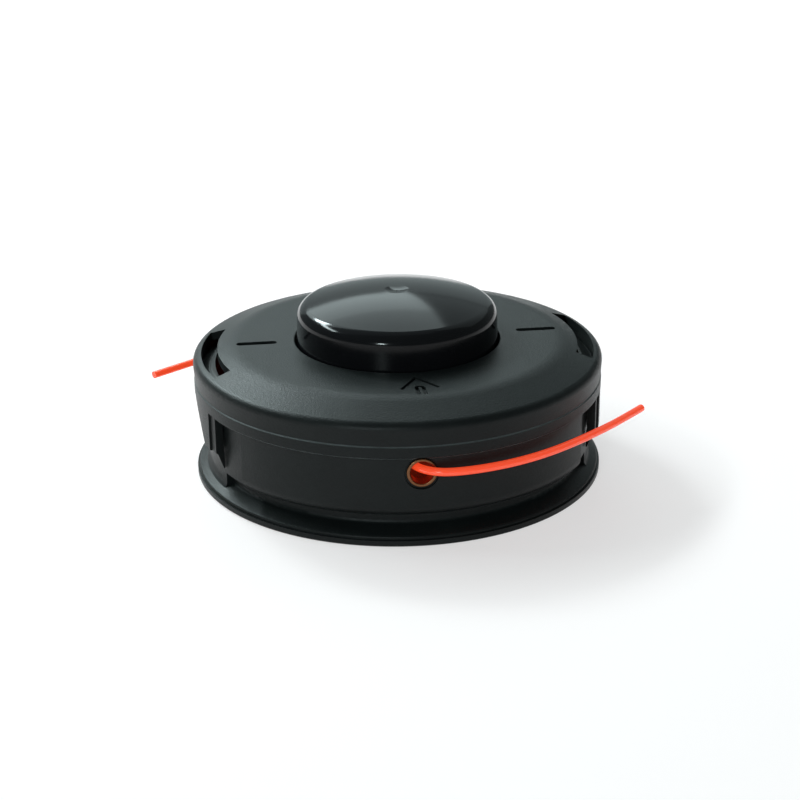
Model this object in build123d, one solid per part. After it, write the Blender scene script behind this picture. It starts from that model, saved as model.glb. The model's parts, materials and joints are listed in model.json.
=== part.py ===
"""Bump-feed line head for a grass trimmer, standing on its flange with the bump knob up.

Frame: millimetres, origin on the spin axis at the underside of the flange, +Z towards the knob.
The line eyelets are close to -Y and +Y, the latch tabs and cover windows at -X and +X.
"""
from build123d import *
import os
from math import atan2, degrees, radians, sqrt, tan

# Outer form
HEAD_R = 65.0            # radius of the flange and of the cover
FOOT_W = 4.6             # width of the ring that stands on the ground
RIM_H = 2.9              # height of the flange rim
RIM_STEP = 0.7           # small step near the top of the flange rim
RIM_STEP_H = 1.0
RIM_ROUND = 0.5
FLANGE_RISE = 2.1        # rise of the flange's top from its rim to the waist
WAIST_SET = 6.4          # set-back of the waist from the head's radius
WAIST_H = 3.6
DRUM_SET = 1.1           # set-back of the drum's wall
BAND_SET = 0.25          # set-back of the band at the drum's upper edge
BAND_H = 3.9
EDGE = 0.35              # chamfer at the parting line, on the foot and under the band

# Walls and clearances
WALL_T = 3.5
WAIST_T = 2.8
FLOOR_Z = 5.2            # inside floor of the housing
FLOOR_T = 2.8
COVER_T = 2.4
RUN_GAP = 0.06           # radial clearance of a sliding or turning fit
SEAT_GAP = 0.1           # gap between the spool and the collar it is pushed against
SNUG = 0.2               # clearance of pieces that only have to go together
JOIN = 0.5               # how deep a feature is sunk into the body that it grows from
PAST = 1.0               # how far a cut runs past the face that it opens

# Cover
COVER_H = 10.7           # height of the flat top ring above the parting line
LUG_ROOM = 5.0           # room between the spool's upper flange and the cover's roof
SHOULDER_DROP = 4.0
SHOULDER_W = 12.9        # width of the sloping shoulder
SHOULDER_ROUND = 14.0
CORNER_ROUND = 2.6
RIM_DRAFT = 0.45         # taper of the cover's rim towards the parting line
RIM_WEB_T = 1.7
KNOB_HOLE_R = 32.44
HOLE_ROUND = 0.6
COLLAR_T = 2.0
WINDOW_GAP_IN = 0.9      # gap of a latch window inside its finger
WINDOW_GAP_OUT = 0.6     # gap of a latch window outside its finger's hook
WINDOW_HALF = 19.5       # half-angle of a latch window
SPIGOT_H = 4.0
SPIGOT_T = 2.1
SPIGOT_CLEAR = 7.0       # angle between a spigot's end and the latch pocket
MARK_GAP = 5.8           # distance of a mark from the knob's hole
MARK_L = 12.8
MARK_W = 2.7
MARK_DEPTH = 1.6
ARROW_GAP = 5.1          # distance of the arrow's tip from the knob's hole
ARROW_TURN = 1.3         # angle of the arrow from the Y axis
ARROW_L = 8.4
ARROW_HALF_W = 5.35
ARROW_W = 1.1
ARROW_DEPTH = 0.9
ARCH_BACK = 8.1          # distance of the arch's centre behind the arrow's tip
ARCH_HALF_W = 1.0
ARCH_LEG = 5.4

# Latches
POCKET_DEPTH = 2.9       # depth of a latch pocket below the drum's wall
POCKET_LIP = 0.6         # strip of wall left between a pocket and the band
POCKET_HALF = 35.5       # half-angle of the pocket round a latch tab
POCKET_WALL = 2.5
POCKET_BLEND = 2.2       # rounding from a pocket's floor to the flange
TAB_SET = 0.1            # set-back of a tab's upper edge from the band
TAB_T = 3.15
TAB_DROP = 12.2
TAB_LEAN = 2.2           # how far the middle of a tab leans in towards its foot
TAB_HALF = 19.0
TAB_SIDE = 3.3           # extra half-angle of the thinner strips beside the tab
TAB_SIDE_STEP = 0.6
FIN_HALF = 0.8           # half-angle of the fin below each strip
FIN_DROP = 5.2
FIN_CLEAR = 0.3          # gap between the fins and the pocket's floor
FINGER_SET = 3.1         # set-back of the finger's inner face from the pocket's floor
FINGER_T = 2.1
FINGER_TIP = 0.8         # flat of the finger's top, inside the hook's slope
FINGER_HALF = 20.0
FINGER_TOP = 4.2         # top of the finger above the parting line
HOOK_H = 2.0
HOOK_REACH = 1.6
LEDGE_OVERLAP = 1.1

# Bump feed
STROKE = 6.0
LUG_HALF = 9.0           # half-angle of a stop lug
LUG_COUNT = 3
LUG_GAP = 1.0            # angle between a lug and the stop it rests against
LUG_START = 30.0
UPPER_LUG_GAP = 1.56     # distance of the upper lugs from the cover's collar
UPPER_LUG_W = 6.0
UPPER_LUG_H = 2.8
LOWER_LUG_GAP = 4.0      # distance of the lower lugs from the spool's core
LOWER_LUG_W = 8.0
LOWER_LUG_H = 3.0
LUG_CATCH = 2.2          # height over which a lug and its stop meet
FEED_STEP = 30.0         # turn that the spool makes while the knob is held in
FLOOR_GAP = 0.8          # room under the lower lugs when the knob is fully in

# Line
LINE_D = 2.4
TURNS_HIGH = 3           # turns of line side by side in a slot
WINDING_SET = 14.0       # distance of the wound line from the spool's edge
EYELET_DROP = 2.0        # height of the eyelets below the middle of the spool
EYELET_SKEW = -0.83      # angle of the eyelets from the Y axis
EYELET_R = 4.5           # outer lip
EYELET_BORE_R = 3.45
EYELET_BARREL_R = 4.0
EYELET_LIP_T = 0.8
EYELET_FLARE_T = 0.7
EYELET_ROUND = 0.45
EYELET_RECESS = 0.7      # dark gap left round the lip

# Spool
SPOOL_GAP = 1.8
SPOOL_FLANGE_T = 2.0
CORE_T = 2.5
DIVIDER_SET = 8.0        # distance of the divider's edge from the spool's edge
DIVIDER_T = 1.6
ROOF_T = 3.0
SLEEVE_T = 2.1
SLEEVE_DROP = 8.5
STEM_T = 1.0             # extra radius of the stem above the sleeve
WEB_T = 3.0
WEB_GAP = 0.6            # room over the post when the knob is fully in
NOTCH_R = 1.5            # notch in a spool flange that parks the line's end
NOTCH_ANGLES = (60.0, 240.0)

# Hub, spindle thread and spring
HUB_WALL = 2.8
HUB_ROOF = 1.0
HUB_FOOT = 1.5           # height of the hub's underside above the ground
POST_BORE_R = 6.2
POST_WALL = 3.8
POST_RISE = 3.4          # height of the post above the spool chamber's roof
INSERT_FLATS = 17.0
INSERT_L = 12.0
INSERT_PILOT = 1.0       # length of the round end of the insert
THREAD_R = 4.32          # minor radius of the M10 x 1.25 left-hand thread
RIB_COUNT = 12
RIB_T = 1.8
RIB_DEPTH = 1.4
SPRING_WIRE = 1.8
SPRING_GAP = 1.5         # room between the hub and the spring
SPRING_ROOM = 1.6        # room between the spring and its chamber
SPRING_TURNS = 5.5
GROUND_SHARE = 0.2       # share of the wire that is ground off at the spring's ends
WASHER_T = 1.0

# Knob and its bearing
KNOB_GAP = 0.4
KNOB_DRAFT = 0.5
DOME_R = 100.0
KNOB_ROUND = 4.4
KNOB_T = 2.5
HEAD_ROOM = 1.0          # room between the screw's head and the knob
SKIRT_IN = 6.4           # length of the skirt below the cover's top
DIMPLE_R = 4.2
DIMPLE_DEPTH = 0.6
PIP_R = 0.45             # small moulding hole in the dimple
PIP_DEPTH = 0.6
BEARING_BORE_R = 4.0
BEARING_R = 11.0
BEARING_W = 7.0
BALL_R = 1.985
BALL_COUNT = 7
RACE_GAP = 0.075
RING_T = 2.05
SHIELD_T = 0.35
CAGE_HALF_T = 0.8
CAGE_BACK = 0.6
BOSS_T = 2.6
BOSS_LIP_T = 1.1
BOSS_LIP = 0.7
STUB_FOOT = 1.8
STUB_LIP = 0.4           # how far the stub's foot stays inside the inner ring
KNOB_RIBS = 6
KNOB_RIB_T = 1.6
SCREW_R = 2.0
SCREW_HEAD_R = 4.2
SCREW_HEAD_H = 2.0
SCREW_DEPTH = 9.7
SCREW_SOCKET_R = 1.8
SCREW_WASHER_T = 0.8

# Route of each line tail from inside the drum to its cut end, chosen by hand. Each point is
# (across, outwards, up) from the place where the Y axis passes the drum's wall at the eyelet's height.
TAIL_START = [
    (-13.9, -15.4, 1.0),
    (-7.9, -12.9, 1.0),
    (-3.6, -8.4, 1.0),
    (-2.4, -2.0, 1.0),
    (2.9, 2.2, 1.0),
    (9.5, 2.7, 1.0),
]
FRONT_TAIL = TAIL_START + [
    (19.0, 1.0, 1.0),
    (29.0, -2.5, 1.0),
    (39.0, -7.9, 1.0),
    (49.0, -15.1, 1.0),
    (58.5, -23.0, 1.0),
    (66.2, -30.2, 1.0),
    (73.3, -37.3, 1.0),
]
REAR_TAIL = TAIL_START + [
    (19.0, 1.0, 0.9),
    (28.9, -2.8, 0.7),
    (38.7, -7.9, 0.4),
    (48.5, -13.8, 0.1),
    (58.2, -20.1, -0.2),
    (68.1, -26.9, -0.5),
    (77.9, -33.8, -0.8),
]

# Radii that follow from the sizes above
RIM_R = HEAD_R - RIM_STEP
FOOT_R = HEAD_R - FOOT_W
WAIST_R = HEAD_R - WAIST_SET
WAIST_IN_R = WAIST_R - WAIST_T
WAIST_ROUND = WAIST_H / 3
DRUM_R = HEAD_R - DRUM_SET
DRUM_IN_R = DRUM_R - WALL_T
DRUM_ROUND = WAIST_SET - DRUM_SET - WAIST_ROUND - SNUG
BAND_R = HEAD_R - BAND_SET
TOP_RING_R = HEAD_R - SHOULDER_W
RIM_IN_R = HEAD_R - COVER_T - SNUG
POCKET_R = DRUM_R - POCKET_DEPTH
FINGER_R0 = POCKET_R - FINGER_SET
FINGER_R1 = FINGER_R0 + FINGER_T
HOOK_R = FINGER_R1 + HOOK_REACH
LEDGE_R = HOOK_R - LEDGE_OVERLAP
WINDOW_R0 = FINGER_R0 - WINDOW_GAP_IN
WINDOW_R1 = HOOK_R + WINDOW_GAP_OUT
COLLAR_R = KNOB_HOLE_R + COLLAR_T
HUB_R = INSERT_FLATS / sqrt(3) + HUB_WALL
POST_R = POST_BORE_R + POST_WALL
SLEEVE_BORE_R = POST_R + RUN_GAP
SLEEVE_R = SLEEVE_BORE_R + SLEEVE_T
SPRING_R = HUB_R + SPRING_GAP + SPRING_WIRE / 2
CHAMBER_R = SPRING_R + SPRING_WIRE / 2 + SPRING_ROOM
CORE_R = CHAMBER_R + CORE_T
SPOOL_R = WAIST_IN_R - SPOOL_GAP
DIVIDER_R = SPOOL_R - DIVIDER_SET
WINDING_R = SPOOL_R - WINDING_SET
UPPER_LUG_R0 = COLLAR_R + UPPER_LUG_GAP
UPPER_LUG_R1 = UPPER_LUG_R0 + UPPER_LUG_W
LOWER_LUG_R0 = CORE_R + LOWER_LUG_GAP
LOWER_LUG_R1 = LOWER_LUG_R0 + LOWER_LUG_W
KNOB_R = KNOB_HOLE_R - KNOB_GAP
KNOB_TOP_R = KNOB_R - KNOB_DRAFT
PITCH_R = (BEARING_BORE_R + BEARING_R) / 2
INNER_RING_R = BEARING_BORE_R + RING_T
OUTER_RING_R = BEARING_R - RING_T
BOSS_R = BEARING_R + BOSS_T

# Heights that follow from the sizes above
WAIST_Z = RIM_H + FLANGE_RISE
DRUM_Z = WAIST_Z + WAIST_H
DISH_Z = FLOOR_Z - FLOOR_T
HUB_TOP = HUB_FOOT + INSERT_L + HUB_ROOF
SLOT_H = TURNS_HIGH * LINE_D
SPOOL_Z = FLOOR_Z + FLOOR_GAP + LOWER_LUG_H + STROKE
LOWER_SLOT_Z = SPOOL_Z + SPOOL_FLANGE_T
DIVIDER_Z = LOWER_SLOT_Z + SLOT_H
UPPER_SLOT_Z = DIVIDER_Z + DIVIDER_T
UPPER_FLANGE_Z = UPPER_SLOT_Z + SLOT_H
SPOOL_TOP = UPPER_FLANGE_Z + SPOOL_FLANGE_T
EYELET_Z = DIVIDER_Z + DIVIDER_T / 2 - EYELET_DROP
ROOF_Z = UPPER_FLANGE_Z - ROOF_T
SLEEVE_Z = ROOF_Z - SLEEVE_DROP
COVER_IN_Z = SPOOL_TOP + LUG_ROOM
TOP_Z = COVER_IN_Z + COVER_T
PART_Z = TOP_Z - COVER_H
SHOULDER_Z = TOP_Z - SHOULDER_DROP
BAND_Z = PART_Z - BAND_H
POCKET_Z = BAND_Z - POCKET_LIP
FINGER_Z = PART_Z + FINGER_TOP
POST_TOP = ROOF_Z + POST_RISE
WEB_Z = POST_TOP + STROKE + WEB_GAP
WEB_TOP = WEB_Z + WEB_T
BEARING_Z = WEB_TOP + STUB_FOOT
BEARING_MID = BEARING_Z + BEARING_W / 2
BEARING_TOP = BEARING_Z + BEARING_W
SCREW_HEAD_Z = BEARING_TOP + SCREW_WASHER_T
SCREW_TOP = SCREW_HEAD_Z + SCREW_HEAD_H
KNOB_APEX_Z = SCREW_TOP + HEAD_ROOM + KNOB_T
SKIRT_Z = TOP_Z - SKIRT_IN
SPRING_Z0 = FLOOR_Z + WASHER_T
SPRING_Z1 = ROOF_Z - WASHER_T

# Angles
LUG_ANGLES = [LUG_START + 360.0 / LUG_COUNT * i for i in range(LUG_COUNT)]
UPPER_STOP_TURN = 2 * LUG_HALF + LUG_GAP
LOWER_STOP_TURN = UPPER_STOP_TURN + FEED_STEP
LATCH_ANGLES = (0.0, 180.0)
HALF_TURNS = (0.0, 180.0)    # front and rear


def outline(*points, rounds=None):
    """Closed outline in (radius, height), with rounds {point index: corner radius}."""
    sketch = make_face(Polyline(*points, close=True))
    for index, radius in (rounds or {}).items():
        corner = sketch.vertices().sort_by_distance((*points[index], 0))[0]
        sketch = fillet(corner, radius)
    return sketch


def turned(sketch, arc=360.0):
    """Solid of revolution about Z of an outline in (radius, height)."""
    return revolve(Plane.XZ * sketch, Axis.Z, arc)


def ring(r0, r1, z0, z1):
    return turned(outline((r0, z0), (r1, z0), (r1, z1), (r0, z1)))


def sector(r0, r1, z0, z1, centre, half):
    """Piece of a ring, half degrees to each side of the centre angle."""
    piece = turned(outline((r0, z0), (r1, z0), (r1, z1), (r0, z1)), 2 * half)
    return Rot(Z=centre - half) * piece


def rod(radius, z0, z1):
    return Pos(Z=z0) * Cylinder(radius, z1 - z0, align=(Align.CENTER, Align.CENTER, Align.MIN))


def bar_out(r0, r1, z0, z1, width, angle):
    """Straight bar that points outwards from the axis at an angle."""
    low = (Align.MIN, Align.CENTER, Align.MIN)
    return Rot(Z=angle) * Pos(r0, 0, z0) * Box(r1 - r0, width, z1 - z0, align=low)


def eyelet_rod(radius, y0, y1):
    """Cylinder along the front eyelet's axis, from y0 to y1 outwards from the head's axis."""
    plane = Plane(origin=(0, -y0, EYELET_Z), x_dir=(1, 0, 0), z_dir=(0, -1, 0))
    return plane * Cylinder(radius, y1 - y0, align=(Align.CENTER, Align.CENTER, Align.MIN))


def hex_prism(flats, z0, z1):
    return Pos(Z=z0) * extrude(RegularPolygon(flats / 2, 6, major_radius=False), z1 - z0)


def make_housing():
    shell = turned(outline(
        (FOOT_R, 0),
        (HEAD_R - EDGE, 0),
        (HEAD_R, EDGE),
        (HEAD_R, RIM_H - RIM_STEP_H),
        (RIM_R, RIM_H - RIM_STEP_H),
        (RIM_R, RIM_H),
        (WAIST_R, WAIST_Z),
        (WAIST_R, DRUM_Z),
        (DRUM_R, DRUM_Z),
        (DRUM_R, BAND_Z - EDGE),
        (BAND_R, BAND_Z + EDGE),
        (BAND_R, PART_Z - EDGE),
        (BAND_R - EDGE, PART_Z),
        (DRUM_IN_R, PART_Z),
        (DRUM_IN_R, DRUM_Z + DRUM_ROUND + EDGE),
        (WAIST_IN_R, DRUM_Z + EDGE),
        (WAIST_IN_R, FLOOR_Z),
        (HUB_R, FLOOR_Z),
        (HUB_R, HUB_TOP),
        (POST_R, HUB_TOP),
        (POST_R, POST_TOP),
        (POST_BORE_R, POST_TOP),
        (POST_BORE_R, HUB_FOOT),
        (HUB_R, HUB_FOOT),
        (HUB_R, DISH_Z),
        (FOOT_R, DISH_Z),
        rounds={5: RIM_ROUND, 6: WAIST_ROUND, 7: WAIST_ROUND, 8: DRUM_ROUND},
    ))
    for angle in LATCH_ANGLES:
        shell += latch_wall(angle)
        shell -= sector(POCKET_R, HEAD_R + PAST, WAIST_Z + PAST, POCKET_Z, angle, POCKET_HALF)
        shell += pocket_foot(angle)
        shell += latch_tab(angle)
        shell += latch_finger(angle)
    stop_top = FLOOR_Z + FLOOR_GAP + LUG_CATCH + EDGE
    for angle in LUG_ANGLES:
        shell += sector(LOWER_LUG_R0, LOWER_LUG_R1, FLOOR_Z, stop_top, angle + LOWER_STOP_TURN, LUG_HALF)
    for i in range(RIB_COUNT):
        rib_angle = 360 / RIB_COUNT * (i + 0.5)
        shell += bar_out(HUB_R - JOIN, FOOT_R + JOIN, DISH_Z - RIB_DEPTH, DISH_Z, RIB_T, rib_angle)
    for turn in HALF_TURNS:
        bore = eyelet_rod(EYELET_BARREL_R, DRUM_IN_R - PAST, DRUM_R + PAST)
        recess = eyelet_rod(EYELET_R + EYELET_RECESS, DRUM_R - EYELET_LIP_T, DRUM_R + PAST)
        shell -= Rot(Z=turn + EYELET_SKEW) * (bore + recess)
    return shell - hex_prism(INSERT_FLATS, HUB_FOOT, HUB_FOOT + INSERT_L - INSERT_PILOT)


def latch_wall(angle):
    """Wall behind a latch pocket, set in towards the spool."""
    half = POCKET_HALF + degrees(POCKET_WALL / POCKET_R)
    return sector(POCKET_R - POCKET_WALL, DRUM_IN_R + SNUG, DRUM_Z + PAST, BAND_Z + POCKET_LIP, angle, half)


def pocket_foot(angle):
    """Foot of a pocket's floor below the tab, which runs out into the flange's top with a rounding."""
    inner_r = WAIST_R - JOIN
    floor_r = POCKET_R - RUN_GAP
    end_r = floor_r + POCKET_BLEND + PAST
    half = TAB_HALF + TAB_SIDE
    slope = FLANGE_RISE / (RIM_R - WAIST_R)
    foot = turned(outline(
        (inner_r, RIM_H - EDGE),
        (end_r, RIM_H - EDGE),
        (end_r, RIM_H - SEAT_GAP + slope * (RIM_R - end_r)),
        (floor_r, RIM_H - SEAT_GAP + slope * (RIM_R - floor_r)),
        (floor_r, DRUM_Z + 2 * PAST),
        (inner_r, DRUM_Z + 2 * PAST),
        rounds={3: POCKET_BLEND},
    ), 2 * half)
    return Rot(Z=angle - half) * foot


def latch_tab(angle):
    """Grip tab that hangs from the band: a raised pad that leans in at its middle, with a lower strip and a fin
    along each side."""
    top_z = BAND_Z + JOIN
    foot_z = BAND_Z - TAB_DROP
    pad_r = BAND_R - TAB_SET
    strip_r = pad_r - TAB_SIDE_STEP
    back_r = pad_r - TAB_T
    strip_half = TAB_HALF + TAB_SIDE
    tab = Part()
    for face_r, half in ((pad_r, TAB_HALF), (strip_r, strip_half)):
        piece = turned(outline(
            (back_r, foot_z),
            (face_r - EDGE, foot_z),
            (face_r, foot_z + EDGE),
            (face_r, top_z),
            (back_r, top_z),
        ), 2 * half)
        tab += Rot(Z=-half) * piece
    lean = degrees(atan2(TAB_LEAN, TAB_DROP))
    outside = (Align.MIN, Align.CENTER, Align.MAX)
    tab -= Pos(pad_r, 0, BAND_Z) * Rot(Y=lean) * Box(2 * TAB_T, 2 * HEAD_R, 2 * TAB_DROP, align=outside)
    fin_r = POCKET_R + FIN_CLEAR
    fin = turned(outline(
        (fin_r, foot_z + JOIN),
        (fin_r, foot_z - FIN_DROP),
        (fin_r + EDGE, foot_z - FIN_DROP),
        (strip_r - EDGE, foot_z + JOIN),
    ), 2 * FIN_HALF)
    for side in (-1, 1):
        tab += Rot(Z=side * (strip_half - FIN_HALF) - FIN_HALF) * fin
    return Rot(Z=angle) * tab


def latch_finger(angle):
    """Spring finger that rises from the pocket wall, with a hook facing outwards."""
    finger = turned(outline(
        (FINGER_R0, BAND_Z),
        (FINGER_R1, BAND_Z),
        (FINGER_R1, FINGER_Z - HOOK_H),
        (HOOK_R, FINGER_Z - HOOK_H),
        (HOOK_R, FINGER_Z - HOOK_H * 0.6),
        (FINGER_R0 + FINGER_TIP, FINGER_Z),
        (FINGER_R0, FINGER_Z),
    ), 2 * FINGER_HALF)
    return Rot(Z=angle - FINGER_HALF) * finger


def make_cover():
    rim_web_z = PART_Z + RIM_WEB_T
    spigot_r = DRUM_IN_R - SNUG
    spigot_in_r = spigot_r - SPIGOT_T
    body = turned(outline(
        (KNOB_HOLE_R, SPOOL_TOP + SEAT_GAP),
        (COLLAR_R, SPOOL_TOP + SEAT_GAP),
        (COLLAR_R, COVER_IN_Z),
        (TOP_RING_R - JOIN, COVER_IN_Z),
        (RIM_IN_R, SHOULDER_Z - COVER_T + JOIN),
        (RIM_IN_R, rim_web_z),
        (spigot_in_r, rim_web_z),
        (spigot_in_r, PART_Z),
        (HEAD_R - RIM_DRAFT, PART_Z),
        (HEAD_R, SHOULDER_Z),
        (TOP_RING_R, TOP_Z),
        (KNOB_HOLE_R, TOP_Z),
        rounds={11: HOLE_ROUND, 10: SHOULDER_ROUND, 9: CORNER_ROUND},
    ))
    spigot_half = 90 - POCKET_HALF - SPIGOT_CLEAR
    for angle in (90, 270):
        body += sector(spigot_in_r, spigot_r, PART_Z - SPIGOT_H, PART_Z + JOIN, angle, spigot_half)
    finger_half = FINGER_HALF + degrees(PAST / FINGER_R0)
    ledge_z = FINGER_Z - HOOK_H - SEAT_GAP
    mark = extrude(SlotOverall(MARK_L, MARK_W), MARK_DEPTH + PAST)
    mark_r = KNOB_HOLE_R + MARK_GAP + MARK_L / 2
    for angle in LATCH_ANGLES:
        body -= sector(spigot_in_r - PAST, LEDGE_R, PART_Z - PAST, rim_web_z + PAST, angle, finger_half)
        body += sector(LEDGE_R, RIM_IN_R + JOIN, PART_Z, ledge_z, angle, WINDOW_HALF)
        body -= sector(WINDOW_R0, WINDOW_R1, FINGER_Z - HOOK_H, TOP_Z + PAST, angle, WINDOW_HALF)
        body -= Rot(Z=angle) * Pos(mark_r, 0, TOP_Z - MARK_DEPTH) * mark
    stop_z = SPOOL_TOP + UPPER_LUG_H - LUG_CATCH
    for angle in LUG_ANGLES:
        stop_angle = angle + UPPER_STOP_TURN
        body += sector(COLLAR_R - JOIN, UPPER_LUG_R1, stop_z, COVER_IN_Z + JOIN, stop_angle, LUG_HALF)
    return body - arrow_mark()


def arrow_mark():
    """Engraved arrow head that points at the knob, with a small arch behind it."""
    leg = sqrt(ARROW_L ** 2 + ARROW_HALF_W ** 2)
    slope = degrees(atan2(ARROW_HALF_W, ARROW_L))
    arch = Circle(ARCH_HALF_W + ARROW_W / 2) - Circle(ARCH_HALF_W - ARROW_W / 2)
    arch -= Pos(X=ARCH_HALF_W * 2) * Rectangle(ARCH_HALF_W * 4, ARCH_HALF_W * 4)
    mark = Sketch()
    for side in (-1, 1):
        mark += Rot(Z=side * slope) * Pos(X=leg / 2) * SlotOverall(leg + ARROW_W, ARROW_W)
        arch += Pos(ARCH_LEG / 2, side * ARCH_HALF_W) * Rectangle(ARCH_LEG, ARROW_W)
    mark += Pos(X=ARCH_BACK) * arch
    tip_r = KNOB_HOLE_R + ARROW_GAP
    return Rot(Z=ARROW_TURN - 90) * Pos(tip_r, 0, TOP_Z - ARROW_DEPTH) * extrude(mark, ARROW_DEPTH + PAST)


def make_insert():
    """Hexagonal steel nut with a round end, moulded into the hub."""
    top = HUB_FOOT + INSERT_L
    nut = hex_prism(INSERT_FLATS, HUB_FOOT, top - INSERT_PILOT) + rod(POST_BORE_R, top - INSERT_PILOT, top)
    return nut - rod(THREAD_R, HUB_FOOT - PAST, top + PAST)


def make_eyelet(turn):
    """Swaged brass sleeve: rounded outer lip in the wall's recess, barrel, and a flare inside."""
    lip_y = DRUM_R - EYELET_LIP_T
    flare_y = sqrt(DRUM_IN_R ** 2 - EYELET_R ** 2) - RUN_GAP
    sleeve = eyelet_rod(EYELET_R, lip_y, DRUM_R)
    sleeve += eyelet_rod(EYELET_BARREL_R, flare_y, lip_y)
    sleeve += eyelet_rod(EYELET_R, flare_y - EYELET_FLARE_T, flare_y)
    sleeve -= eyelet_rod(EYELET_BORE_R, flare_y - EYELET_FLARE_T - PAST, DRUM_R + PAST)
    sleeve = fillet(sleeve.edges().group_by(Axis.Y)[0], EYELET_ROUND)
    return Rot(Z=turn + EYELET_SKEW) * sleeve


def make_spool():
    body = turned(outline(
        (SLEEVE_BORE_R, SLEEVE_Z),
        (SLEEVE_R, SLEEVE_Z),
        (SLEEVE_R, ROOF_Z),
        (CHAMBER_R, ROOF_Z),
        (CHAMBER_R, SPOOL_Z),
        (SPOOL_R, SPOOL_Z),
        (SPOOL_R, LOWER_SLOT_Z),
        (CORE_R, LOWER_SLOT_Z),
        (CORE_R, DIVIDER_Z),
        (DIVIDER_R, DIVIDER_Z),
        (DIVIDER_R, UPPER_SLOT_Z),
        (CORE_R, UPPER_SLOT_Z),
        (CORE_R, UPPER_FLANGE_Z),
        (SPOOL_R, UPPER_FLANGE_Z),
        (SPOOL_R, SPOOL_TOP),
        (SLEEVE_R + STEM_T, SPOOL_TOP),
        (SLEEVE_R + STEM_T, WEB_TOP),
        (INNER_RING_R - STUB_LIP, WEB_TOP),
        (INNER_RING_R - STUB_LIP, BEARING_Z),
        (BEARING_BORE_R, BEARING_Z),
        (BEARING_BORE_R, BEARING_TOP - EDGE),
        (SCREW_R, BEARING_TOP - EDGE),
        (SCREW_R, BEARING_TOP - SCREW_DEPTH),
        (0, BEARING_TOP - SCREW_DEPTH),
        (0, WEB_Z),
        (SLEEVE_BORE_R, WEB_Z),
    ))
    for angle in LUG_ANGLES:
        body += sector(UPPER_LUG_R0, UPPER_LUG_R1, SPOOL_TOP - JOIN, SPOOL_TOP + UPPER_LUG_H, angle, LUG_HALF)
        body += sector(LOWER_LUG_R0, LOWER_LUG_R1, SPOOL_Z - LOWER_LUG_H, SPOOL_Z + JOIN, angle, LUG_HALF)
    for angle in NOTCH_ANGLES:
        body -= Rot(Z=angle) * Pos(SPOOL_R, 0, 0) * rod(NOTCH_R, SPOOL_Z - PAST, LOWER_SLOT_Z + PAST)
        body -= Rot(Z=angle) * Pos(SPOOL_R, 0, 0) * rod(NOTCH_R, UPPER_FLANGE_Z - PAST, SPOOL_TOP + PAST)
    return body


def make_winding(slot_z):
    """Turns of line in one slot, with the outer turns showing as ridges."""
    ridge_r = WINDING_R - LINE_D / 2
    edges = [Line((CORE_R, slot_z), (ridge_r, slot_z))]
    for i in range(TURNS_HIGH):
        z = slot_z + i * LINE_D
        edges.append(ThreePointArc((ridge_r, z), (WINDING_R, z + LINE_D / 2), (ridge_r, z + LINE_D)))
    edges.append(Line((ridge_r, slot_z + SLOT_H), (CORE_R, slot_z + SLOT_H)))
    edges.append(Line((CORE_R, slot_z + SLOT_H), (CORE_R, slot_z)))
    return turned(make_face(edges))


def make_spring():
    """Compression spring with ground ends."""
    start = SPRING_Z0 + SPRING_WIRE * GROUND_SHARE
    height = SPRING_Z1 - SPRING_Z0 - 2 * SPRING_WIRE * GROUND_SHARE
    path = Pos(Z=start) * Helix(height / SPRING_TURNS, height, SPRING_R)
    section = Plane(origin=path @ 0, z_dir=path % 0) * Circle(SPRING_WIRE / 2)
    wire = sweep(section, path=path, is_frenet=True)
    return wire & ring(SPRING_R - SPRING_WIRE, SPRING_R + SPRING_WIRE, SPRING_Z0, SPRING_Z1)


def dome_body(side_r, top_r, apex_z, dome_r, base_z, corner_round):
    """Round body with slightly drawn sides and a shallow spherical top."""
    side_z = apex_z - dome_r + sqrt(dome_r ** 2 - top_r ** 2)
    half_r = top_r / 2
    half_z = apex_z - dome_r + sqrt(dome_r ** 2 - half_r ** 2)
    face = make_face([
        Line((0, base_z), (side_r, base_z)),
        Line((side_r, base_z), (top_r, side_z)),
        ThreePointArc((top_r, side_z), (half_r, half_z), (0, apex_z)),
        Line((0, apex_z), (0, base_z)),
    ])
    corner = face.vertices().sort_by_distance((top_r, side_z, 0))[0]
    return turned(fillet(corner, corner_round))


def make_knob():
    cap = dome_body(KNOB_R, KNOB_TOP_R, KNOB_APEX_Z, DOME_R, SKIRT_Z, KNOB_ROUND)
    inner_apex = KNOB_APEX_Z - KNOB_T
    inner_round = KNOB_ROUND - KNOB_T
    cap -= dome_body(KNOB_R - KNOB_T, KNOB_TOP_R - KNOB_T, inner_apex, DOME_R - KNOB_T, SKIRT_Z, inner_round)
    boss_foot = BEARING_Z - BOSS_LIP_T
    cap += ring(BEARING_R, BOSS_R, boss_foot, inner_apex)
    cap += ring(BEARING_R - BOSS_LIP, BEARING_R, boss_foot, BEARING_Z)
    cap += ring(OUTER_RING_R, BEARING_R, BEARING_TOP, inner_apex)
    rib_top = KNOB_APEX_Z - KNOB_T * 2
    rib_r = KNOB_TOP_R - KNOB_T + SNUG
    for i in range(KNOB_RIBS):
        cap += bar_out(BOSS_R - JOIN, rib_r, BEARING_Z + PAST, rib_top, KNOB_RIB_T, 360 / KNOB_RIBS * i)
    dimple_r = (DIMPLE_R ** 2 + DIMPLE_DEPTH ** 2) / (2 * DIMPLE_DEPTH)
    dimple_z = KNOB_APEX_Z - DIMPLE_DEPTH
    cap -= Pos(Z=dimple_z + dimple_r) * Sphere(dimple_r)
    return cap - rod(PIP_R, dimple_z - PIP_DEPTH, KNOB_APEX_Z)


def race_groove():
    return Pos(Z=BEARING_MID) * Torus(PITCH_R, BALL_R + RACE_GAP)


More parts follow.
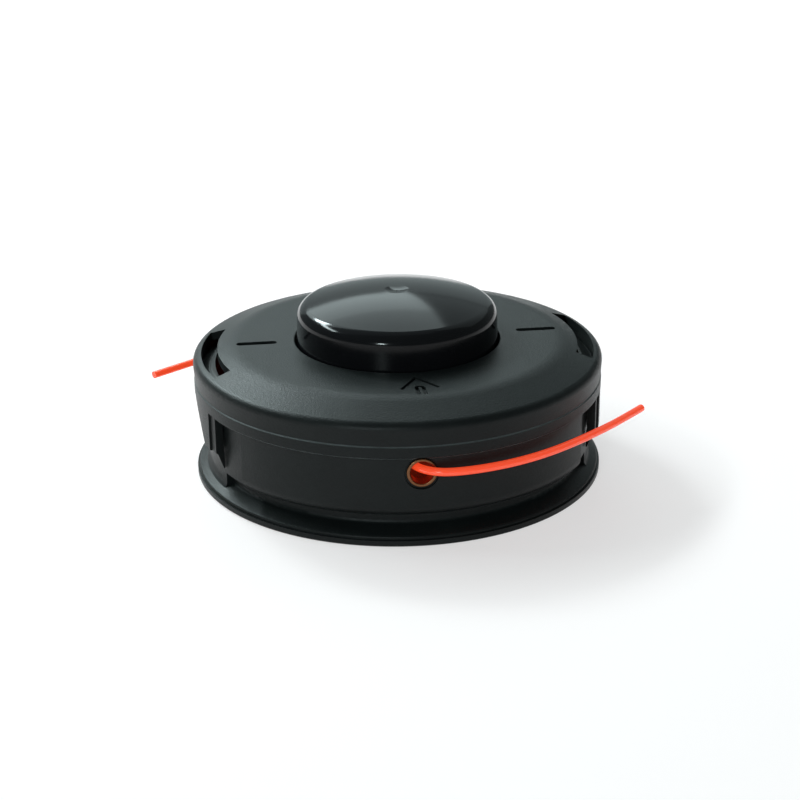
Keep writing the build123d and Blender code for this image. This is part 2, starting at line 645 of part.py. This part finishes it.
def make_outer_ring():
    body = ring(OUTER_RING_R, BEARING_R, BEARING_Z, BEARING_TOP) - race_groove()
    for z in (BEARING_Z, BEARING_TOP - 2 * SHIELD_T):
        body -= ring(OUTER_RING_R - PAST, OUTER_RING_R + SHIELD_T, z, z + 2 * SHIELD_T)
    return body


def make_shields():
    outer_r = OUTER_RING_R + SHIELD_T
    low = ring(INNER_RING_R + SNUG, outer_r, BEARING_Z + SHIELD_T, BEARING_Z + 2 * SHIELD_T)
    high = ring(INNER_RING_R + SNUG, outer_r, BEARING_TOP - 2 * SHIELD_T, BEARING_TOP - SHIELD_T)
    return Compound(children=[low, high])


def ball_places():
    for i in range(BALL_COUNT):
        yield Rot(Z=360 / BALL_COUNT * i) * Pos(PITCH_R, 0, BEARING_MID)


def make_balls():
    return Compound(children=[place * Sphere(BALL_R) for place in ball_places()])


def make_cage():
    """Crown cage: a ring above the balls with a pocket for each."""
    low, high = BEARING_MID - CAGE_HALF_T, BEARING_MID + BALL_R + CAGE_BACK
    body = ring(PITCH_R - CAGE_HALF_T, PITCH_R + CAGE_HALF_T, low, high)
    for place in ball_places():
        body -= place * Sphere(BALL_R + RACE_GAP)
    return body


def make_screw():
    shank = rod(SCREW_R, BEARING_TOP - SCREW_DEPTH + EDGE, SCREW_HEAD_Z)
    head = rod(SCREW_HEAD_R, SCREW_HEAD_Z, SCREW_TOP)
    head = fillet(head.edges().group_by(Axis.Z)[-1], SCREW_HEAD_H * 0.4)
    socket = hex_prism(SCREW_SOCKET_R * 2, SCREW_HEAD_Z + SCREW_HEAD_H * 0.3, SCREW_TOP + PAST)
    return shank + head - socket


def make_tail(name, points, turn):
    """Round line along straight runs joined by tangent arcs as large as the runs allow."""
    spots = [Vector(x, -DRUM_R - out, EYELET_Z + up) for x, out, up in points]
    radii = []
    for before, corner, after in zip(spots, spots[1:], spots[2:]):
        run_in = corner - before
        run_out = after - corner
        half_turn = radians(run_in.get_angle(run_out)) / 2
        radii.append(0.45 * min(run_in.length, run_out.length) / tan(half_turn))
    path = FilletPolyline(*spots, radius=radii)
    section = Plane(origin=path @ 0, z_dir=path % 0) * Circle(LINE_D / 2)
    tube = sweep(section, path=path)
    print(name, "bend radii", [round(r, 1) for r in radii], "length", round(path.length, 1))
    return Rot(Z=turn) * tube


def build():
    return {
        "housing": make_housing(),
        "drive_insert": make_insert(),
        "eyelet_front": make_eyelet(HALF_TURNS[0]),
        "eyelet_rear": make_eyelet(HALF_TURNS[1]),
        "cover": make_cover(),
        "spring_seat_washer": ring(HUB_R + SNUG, CHAMBER_R - SNUG, FLOOR_Z, FLOOR_Z + WASHER_T),
        "feed_spring": make_spring(),
        "thrust_washer": ring(SLEEVE_R + SNUG, CHAMBER_R - SNUG, ROOF_Z - WASHER_T, ROOF_Z),
        "spool": make_spool(),
        "line_winding_lower": make_winding(LOWER_SLOT_Z),
        "line_winding_upper": make_winding(UPPER_SLOT_Z),
        "line_tail_front": make_tail("front tail", FRONT_TAIL, HALF_TURNS[0]),
        "line_tail_rear": make_tail("rear tail", REAR_TAIL, HALF_TURNS[1]),
        "bump_knob": make_knob(),
        "bearing_inner_ring": ring(BEARING_BORE_R, INNER_RING_R, BEARING_Z, BEARING_TOP) - race_groove(),
        "bearing_outer_ring": make_outer_ring(),
        "bearing_shields": make_shields(),
        "bearing_balls": make_balls(),
        "bearing_cage": make_cage(),
        "bearing_washer": ring(SCREW_R, INNER_RING_R - SNUG, BEARING_TOP, SCREW_HEAD_Z),
        "bearing_screw": make_screw(),
    }


os.makedirs("parts", exist_ok=True)
for node, solid in build().items():
    export_step(solid, f"parts/{node}.step")
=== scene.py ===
"""Bump-feed trimmer head: its pieces' looks, its two line tails, a white studio and the photo's camera."""

import json
from math import cos, radians, sin

import bpy
from mathutils import Matrix, Vector

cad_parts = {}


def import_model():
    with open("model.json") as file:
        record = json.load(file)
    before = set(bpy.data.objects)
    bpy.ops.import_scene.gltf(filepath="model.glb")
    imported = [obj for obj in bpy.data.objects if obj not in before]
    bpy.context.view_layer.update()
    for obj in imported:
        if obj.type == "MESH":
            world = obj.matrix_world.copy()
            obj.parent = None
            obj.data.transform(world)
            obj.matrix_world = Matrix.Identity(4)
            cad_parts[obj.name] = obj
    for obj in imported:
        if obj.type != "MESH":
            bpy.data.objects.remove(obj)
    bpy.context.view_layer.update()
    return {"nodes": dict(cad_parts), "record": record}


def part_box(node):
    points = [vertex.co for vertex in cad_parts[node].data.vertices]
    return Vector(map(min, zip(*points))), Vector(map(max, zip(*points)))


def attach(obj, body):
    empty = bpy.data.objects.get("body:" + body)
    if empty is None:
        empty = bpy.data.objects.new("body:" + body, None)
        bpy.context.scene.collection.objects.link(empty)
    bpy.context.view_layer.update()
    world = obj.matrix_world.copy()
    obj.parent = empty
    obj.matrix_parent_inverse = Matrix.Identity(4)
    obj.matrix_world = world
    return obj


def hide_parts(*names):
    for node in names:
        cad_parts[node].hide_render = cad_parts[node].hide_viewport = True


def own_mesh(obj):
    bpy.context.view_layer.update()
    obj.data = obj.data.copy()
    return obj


# The view that the photo was taken from, in metres in the part's frame.
CAMERA_AT = (-0.06498, -0.53475, 0.23531)
CAMERA_TURN = radians(7.0)
CAMERA_TILT = 0.37945
CAMERA_ROLL = 0.00999
LENS_MM = 81.0
SENSOR_MM = 36.0

# The line's two tails: the points of their routes from the face of the eyelet, as millimetres across,
# outwards and upwards. Both start alike, and the rear tail is the front one turned half round, with an end
# of its own.
LINE_D = 0.0024
MM = 0.001
TAIL_START = (
    (-13.9, -15.4, 1.0),
    (-7.9, -12.9, 1.0),
    (-3.6, -8.4, 1.0),
    (-2.4, -2.0, 1.0),
    (2.9, 2.2, 1.0),
    (9.5, 2.7, 1.0),
)
FRONT_END = (
    (19.0, 1.0, 1.0),
    (29.0, -2.5, 1.0),
    (39.0, -7.9, 1.0),
    (49.0, -15.1, 1.0),
    (58.5, -23.0, 1.0),
    (66.2, -30.2, 1.0),
    (73.3, -37.3, 1.0),
)
REAR_END = (
    (19.0, 1.0, 0.9),
    (28.9, -2.8, 0.7),
    (38.7, -7.9, 0.4),
    (48.5, -13.8, 0.1),
    (58.2, -20.1, -0.2),
    (68.1, -26.9, -0.5),
    (77.9, -33.8, -0.8),
)

# Painted highlights on the moulding's edges, in metres: the seam's upper edge, the band's lower edge, the
# lines' width, how far a latch tab reaches to each side, and the painted highlights' colour.
SEAM_Z = 0.03155
BAND_Z = 0.0278
EDGE_LINE = 0.0003
TAB_REACH = 0.025
PAINTED_EDGE_HIGHLIGHT = (0.25, 0.28, 0.28)

# The black plastics: colours, roughness, shine, and the matte one's grain with its depth in metres.
MATTE_DARK = (0.0095, 0.0114, 0.0114)
MATTE_LIGHT = (0.0132, 0.0158, 0.0158)
MATTE_ROUGH = (0.33, 0.42)
MATTE_SHINE = 0.155
GRAIN_SCALE = 1600
GRAIN_DEPTH = 0.00018
GLOSS_COLOUR = (0.006, 0.006, 0.007)
GLOSS_ROUGH = (0.1, 0.15)
GLOSS_SHINE = 0.19

# The line's colours, and a painted glow for its fluorescent nylon: an emission that lights the line
# although it is no lamp.
LINE_DARK = (0.94, 0.072, 0.024)
LINE_LIGHT = (0.98, 0.09, 0.034)
LINE_SHINE = 0.7
LINE_PAINTED_GLOW = (1, 0.078, 0.022)
LINE_PAINTED_GLOW_STRENGTH = 0.58

# The floor's colour, and the white that it adds where it is seen.
FLOOR_COLOUR = (0.5, 0.45, 0.45)
FLOOR_WHITE = 0.575

# The lamps, in metres and watts: the panels of a white roof above and behind the part, which shine straight
# down, and the lamps that point at the middle of the part. Each has its place, its size and its power.
LAMP_COLOUR = (0.85, 1.0, 1.01)
ROOF_PANELS = {
    "roof_near": ((-0.32, 0.25, 1.0), (1.36, 0.7), 0.4),
    "roof_middle": ((-0.32, 0.9, 1.0), (1.36, 0.6), 5),
    "roof_far": ((-0.32, 1.75, 1.0), (1.36, 1.1), 12.5),
    "roof_right": ((0.91, 1.2, 1.0), (1.1, 2.0), 2),
}
LAMP_TARGET = (0, 0, 0.03)
LAMPS = {
    "shoulder_sheen": ((-0.57, 0.95, 0.95), (0.3, 0.25), 10.5),
    "spot": ((-0.93, 0.3, 0.92), (0.35, 0.12), 3.5),
    "spot_glow": ((-0.78, 0.62, 0.92), (0.4, 0.12), 4.2),
    "backdrop": ((0, 2.4, 0.5), (2.6, 1.0), 2.8),
    "fill": ((-0.45, -1.0, 0.3), (0.14, 0.1), 2.8),
}
WORLD_LIGHT = 0.17


def tail_route(end, eyelet, side):
    """The points of a tail's route, in metres. The side is 1 for the front tail and -1 for the rear one."""
    low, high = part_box(eyelet)
    face = min(low[1], -high[1])
    middle = (low[2] + high[2]) / 2
    return [
        (side * across * MM, side * (face - out * MM), middle + up * MM)
        for across, out, up in TAIL_START + end
    ]


def shader(name):
    """A new material with its nodes, links and Principled shader."""
    material = bpy.data.materials.new(name)
    material.use_nodes = True
    nodes = material.node_tree.nodes
    return material, nodes, material.node_tree.links, nodes["Principled BSDF"]


def texture(nodes, links, kind, scale, **inputs):
    """A procedural texture that is fixed to the part."""
    place = nodes.new("ShaderNodeTexCoord")
    tex = nodes.new(kind)
    links.new(place.outputs["Object"], tex.inputs["Vector"])
    tex.inputs["Scale"].default_value = scale
    for key, value in inputs.items():
        tex.inputs[key].default_value = value
    return tex


def ramp(nodes, links, source, low, high):
    """A two-colour ramp: each end is a position and a colour."""
    node = nodes.new("ShaderNodeValToRGB")
    for element, (position, colour) in zip(node.color_ramp.elements, (low, high)):
        element.position = position
        element.color = (*colour, 1)
    links.new(source, node.inputs["Fac"])
    return node


def span(nodes, links, source, low, high):
    """The source, 0 to 1, as a value from low to high."""
    node = nodes.new("ShaderNodeMapRange")
    node.inputs["To Min"].default_value = low
    node.inputs["To Max"].default_value = high
    links.new(source, node.inputs["Value"])
    return node.outputs["Result"]


def bump(nodes, links, bsdf, source, strength, depth):
    """Gives the shader small bumps of a depth in metres."""
    node = nodes.new("ShaderNodeBump")
    node.inputs["Strength"].default_value = strength
    node.inputs["Distance"].default_value = depth
    links.new(source, node.inputs["Height"])
    links.new(node.outputs["Normal"], bsdf.inputs["Normal"])


def calculate(nodes, links, operation, first, second=None):
    """A Math node's result. Each input is a number or another node's output."""
    node = nodes.new("ShaderNodeMath")
    node.operation = operation
    node.use_clamp = operation == "MULTIPLY"
    for socket, value in zip(node.inputs, (first, second)):
        if isinstance(value, bpy.types.NodeSocket):
            links.new(value, socket)
        elif value is not None:
            socket.default_value = value
    return node.outputs[0]


def edge_line(nodes, links, coordinate, height):
    """1 at a height on the part, fading to 0 a line's width above and below it."""
    away = calculate(nodes, links, "ABSOLUTE", calculate(nodes, links, "SUBTRACT", coordinate, height))
    node = nodes.new("ShaderNodeMapRange")
    node.inputs["From Max"].default_value = EDGE_LINE
    node.inputs["To Min"].default_value = 1
    node.inputs["To Max"].default_value = 0
    links.new(away, node.inputs["Value"])
    return node.outputs["Result"]


def painted_edge_highlights(nodes, links, unevenness):
    """1 where edge highlights are painted: along the seam, and under the band except across the latch tabs.
    """
    place = nodes.new("ShaderNodeTexCoord")
    split = nodes.new("ShaderNodeSeparateXYZ")
    links.new(place.outputs["Object"], split.inputs["Vector"])
    seam = edge_line(nodes, links, split.outputs["Z"], SEAM_Z)
    band = edge_line(nodes, links, split.outputs["Z"], BAND_Z)
    beside = calculate(nodes, links, "ABSOLUTE", split.outputs["Y"])
    clear = calculate(nodes, links, "GREATER_THAN", beside, TAB_REACH)
    lines = calculate(nodes, links, "MAXIMUM", seam, calculate(nodes, links, "MULTIPLY", band, clear))
    return calculate(nodes, links, "MULTIPLY", lines, unevenness)


def matte_black():
    """The grained plastic of the housing and the cover, with painted highlights along the seam and the
    band's lower edge.
    """
    material, nodes, links, bsdf = shader("matte_black_plastic")
    grain = texture(nodes, links, "ShaderNodeTexNoise", GRAIN_SCALE, Detail=4, Roughness=0.65)
    cloud = texture(nodes, links, "ShaderNodeTexNoise", 60, Detail=4, Roughness=0.55)
    colour = ramp(nodes, links, cloud.outputs["Fac"], (0.3, MATTE_DARK), (0.75, MATTE_LIGHT))
    mix = nodes.new("ShaderNodeMix")
    mix.data_type = "RGBA"
    factor, plain, highlight = mix.inputs[0], mix.inputs[6], mix.inputs[7]
    # Painted highlight: a pale colour on the seam and the band's lower edge stands for light caught on
    # those edges.
    links.new(painted_edge_highlights(nodes, links, cloud.outputs["Fac"]), factor)
    links.new(colour.outputs["Color"], plain)
    highlight.default_value = (*PAINTED_EDGE_HIGHLIGHT, 1)
    links.new(mix.outputs[2], bsdf.inputs["Base Color"])
    links.new(span(nodes, links, cloud.outputs["Fac"], *MATTE_ROUGH), bsdf.inputs["Roughness"])
    bsdf.inputs["Specular IOR Level"].default_value = MATTE_SHINE
    bump(nodes, links, bsdf, grain.outputs["Fac"], 0.6, GRAIN_DEPTH)
    return material


def gloss_black():
    """The polished plastic of the knob."""
    material, nodes, links, bsdf = shader("gloss_black_plastic")
    wave = texture(nodes, links, "ShaderNodeTexNoise", 90, Detail=2, Roughness=0.5)
    bsdf.inputs["Base Color"].default_value = (*GLOSS_COLOUR, 1)
    links.new(span(nodes, links, wave.outputs["Fac"], *GLOSS_ROUGH), bsdf.inputs["Roughness"])
    bsdf.inputs["Specular IOR Level"].default_value = GLOSS_SHINE
    bump(nodes, links, bsdf, wave.outputs["Fac"], 0.02, 0.0002)
    return material


def nylon_line():
    """The translucent line, brightened by a painted glow."""
    material, nodes, links, bsdf = shader("orange_nylon")
    cloud = texture(nodes, links, "ShaderNodeTexNoise", 400, Detail=2, Roughness=0.5)
    colour = ramp(nodes, links, cloud.outputs["Fac"], (0.3, LINE_DARK), (0.75, LINE_LIGHT))
    links.new(colour.outputs["Color"], bsdf.inputs["Base Color"])
    bsdf.inputs["Roughness"].default_value = 0.16
    bsdf.inputs["Specular IOR Level"].default_value = LINE_SHINE
    # Painted light: the emission makes the line glow although it is no lamp.
    bsdf.inputs["Emission Color"].default_value = (*LINE_PAINTED_GLOW, 1)
    bsdf.inputs["Emission Strength"].default_value = LINE_PAINTED_GLOW_STRENGTH
    bsdf.inputs["Subsurface Weight"].default_value = 0.4
    bsdf.inputs["Subsurface Radius"].default_value = (1.0, 0.25, 0.1)
    bsdf.inputs["Subsurface Scale"].default_value = 0.0008
    bump(nodes, links, bsdf, cloud.outputs["Fac"], 0.08, 0.0001)
    return material


def metal(name, colour, rough, scale):
    """A metal with a slightly uneven shine."""
    material, nodes, links, bsdf = shader(name)
    cloud = texture(nodes, links, "ShaderNodeTexNoise", scale, Detail=4, Roughness=0.6)
    bsdf.inputs["Base Color"].default_value = (*colour, 1)
    bsdf.inputs["Metallic"].default_value = 1
    links.new(span(nodes, links, cloud.outputs["Fac"], rough - 0.08, rough + 0.1), bsdf.inputs["Roughness"])
    bump(nodes, links, bsdf, cloud.outputs["Fac"], 0.08, 0.0001)
    return material


def plain_plastic(name, colour, rough):
    """A plastic of one colour with a light grain."""
    material, nodes, links, bsdf = shader(name)
    grain = texture(nodes, links, "ShaderNodeTexNoise", 1200, Detail=2, Roughness=0.5)
    bsdf.inputs["Base Color"].default_value = (*colour, 1)
    bsdf.inputs["Roughness"].default_value = rough
    bump(nodes, links, bsdf, grain.outputs["Fac"], 0.15, 0.0001)
    return material


def tail(name, node, route, material):
    """One tail of the line, as a round curve that stands for its CAD node."""
    curve = bpy.data.curves.new(name, "CURVE")
    curve.dimensions = "3D"
    curve.bevel_depth = LINE_D / 2
    curve.bevel_resolution = 6
    curve.use_fill_caps = True
    spline = curve.splines.new("NURBS")
    spline.points.add(len(route) - 1)
    for point, place in zip(spline.points, route):
        point.co = (*place, 1)
    spline.order_u = 3
    spline.use_endpoint_u = True
    spline.resolution_u = 12
    curve.materials.append(material)
    obj = bpy.data.objects.new(name, curve)
    bpy.context.scene.collection.objects.link(obj)
    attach(obj, "housing")
    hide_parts(node)
    return obj


def spring(part):
    """The feed spring, as its own copy of the CAD node's mesh, carried with the housing."""
    node = part["nodes"]["feed_spring"]
    obj = bpy.data.objects.new("spring_coil", node.data.copy())
    bpy.context.scene.collection.objects.link(obj)
    obj.matrix_world = node.matrix_world
    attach(obj, "housing")
    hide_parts("feed_spring")
    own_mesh(obj)


def seen(nodes, links):
    """1 for the rays that show a surface to the camera, straight or by a shiny or clear piece."""
    path = nodes.new("ShaderNodeLightPath")
    total = path.outputs["Is Camera Ray"]
    for name in ("Is Glossy Ray", "Is Transmission Ray"):
        total = calculate(nodes, links, "MAXIMUM", total, path.outputs[name])
    return total


def floor():
    """A plain white floor that keeps the part's shadow."""
    bpy.ops.mesh.primitive_plane_add(size=6, location=(0, 0, -0.0002))
    obj = bpy.context.object
    obj.name = "floor"
    material = bpy.data.materials.new("floor")
    material.use_nodes = True
    nodes, links = material.node_tree.nodes, material.node_tree.links
    bsdf = nodes["Principled BSDF"]
    bsdf.inputs["Base Color"].default_value = (*FLOOR_COLOUR, 1)
    bsdf.inputs["Roughness"].default_value = 0.9
    bsdf.inputs["Specular IOR Level"].default_value = 0.1
    bsdf.inputs["Emission Color"].default_value = (1, 1, 1, 1)
    links.new(span(nodes, links, seen(nodes, links), 0, FLOOR_WHITE), bsdf.inputs["Emission Strength"])
    obj.data.materials.append(material)


def area(name, place, size, power, aim):
    """A lamp with a flat rectangular face that shines along its aim."""
    light = bpy.data.lights.new(name, "AREA")
    light.shape = "RECTANGLE"
    light.size, light.size_y = size
    light.energy = power
    light.color = LAMP_COLOUR
    obj = bpy.data.objects.new(name, light)
    bpy.context.scene.collection.objects.link(obj)
    obj.location = place
    obj.rotation_euler = aim.to_track_quat("-Z", "Y").to_euler()


def studio():
    """The floor, the lamps and the light from all around."""
    floor()
    for name, (place, size, power) in ROOF_PANELS.items():
        area(name, place, size, power, Vector((0, 0, -1)))
    for name, (place, size, power) in LAMPS.items():
        area(name, place, size, power, Vector(LAMP_TARGET) - Vector(place))
    world = bpy.data.worlds.new("studio")
    bpy.context.scene.world = world
    world.use_nodes = True
    background = world.node_tree.nodes["Background"]
    background.inputs["Color"].default_value = (*LAMP_COLOUR, 1)
    background.inputs["Strength"].default_value = WORLD_LIGHT


def camera():
    """The camera at the photo's place, turn, tilt and roll."""
    data = bpy.data.cameras.new("camera")
    data.lens = LENS_MM
    data.sensor_width = SENSOR_MM
    data.clip_start = 0.01
    obj = bpy.data.objects.new("camera", data)
    bpy.context.scene.collection.objects.link(obj)
    c, s = cos(CAMERA_TURN), sin(CAMERA_TURN)
    ct, st = cos(CAMERA_TILT), sin(CAMERA_TILT)
    cr, sr = cos(CAMERA_ROLL), sin(CAMERA_ROLL)
    right = Vector((c, -s, 0))
    up = Vector((s * st, c * st, ct))
    back = -Vector((s * ct, c * ct, -st))
    turn = Matrix((cr * right - sr * up, sr * right + cr * up, back)).transposed()
    obj.matrix_world = Matrix.Translation(CAMERA_AT) @ turn.to_4x4()
    bpy.context.scene.camera = obj


def main():
    """Dresses the part, lights it and sets the camera."""
    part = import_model()
    slots = {
        "matte_black_plastic": matte_black(),
        "gloss_black_plastic": gloss_black(),
        "spool_plastic": plain_plastic("spool_plastic", (0.06, 0.06, 0.062), 0.4),
        "orange_nylon": nylon_line(),
        "eyelet_brass": metal("eyelet_brass", (0.19, 0.088, 0.043), 0.34, 300),
        "zinc_steel": metal("zinc_steel", (0.62, 0.62, 0.6), 0.32, 300),
        "spring_steel": metal("spring_steel", (0.4, 0.4, 0.41), 0.35, 300),
        "bearing_steel": metal("bearing_steel", (0.72, 0.72, 0.73), 0.18, 200),
        "cage_nylon": plain_plastic("cage_nylon", (0.55, 0.5, 0.38), 0.45),
    }
    for subpart in part["record"]["subparts"]:
        mesh = part["nodes"][subpart["node"]].data
        mesh.materials.clear()
        mesh.materials.append(slots[subpart["material_slot"]])
    spring(part)
    front = tail_route(FRONT_END, "eyelet_front", 1)
    rear = tail_route(REAR_END, "eyelet_rear", -1)
    tail("tail_front", "line_tail_front", front, slots["orange_nylon"])
    tail("tail_rear", "line_tail_rear", rear, slots["orange_nylon"])
    studio()
    camera()
    scene = bpy.context.scene
    scene.view_settings.view_transform = "Standard"


main()
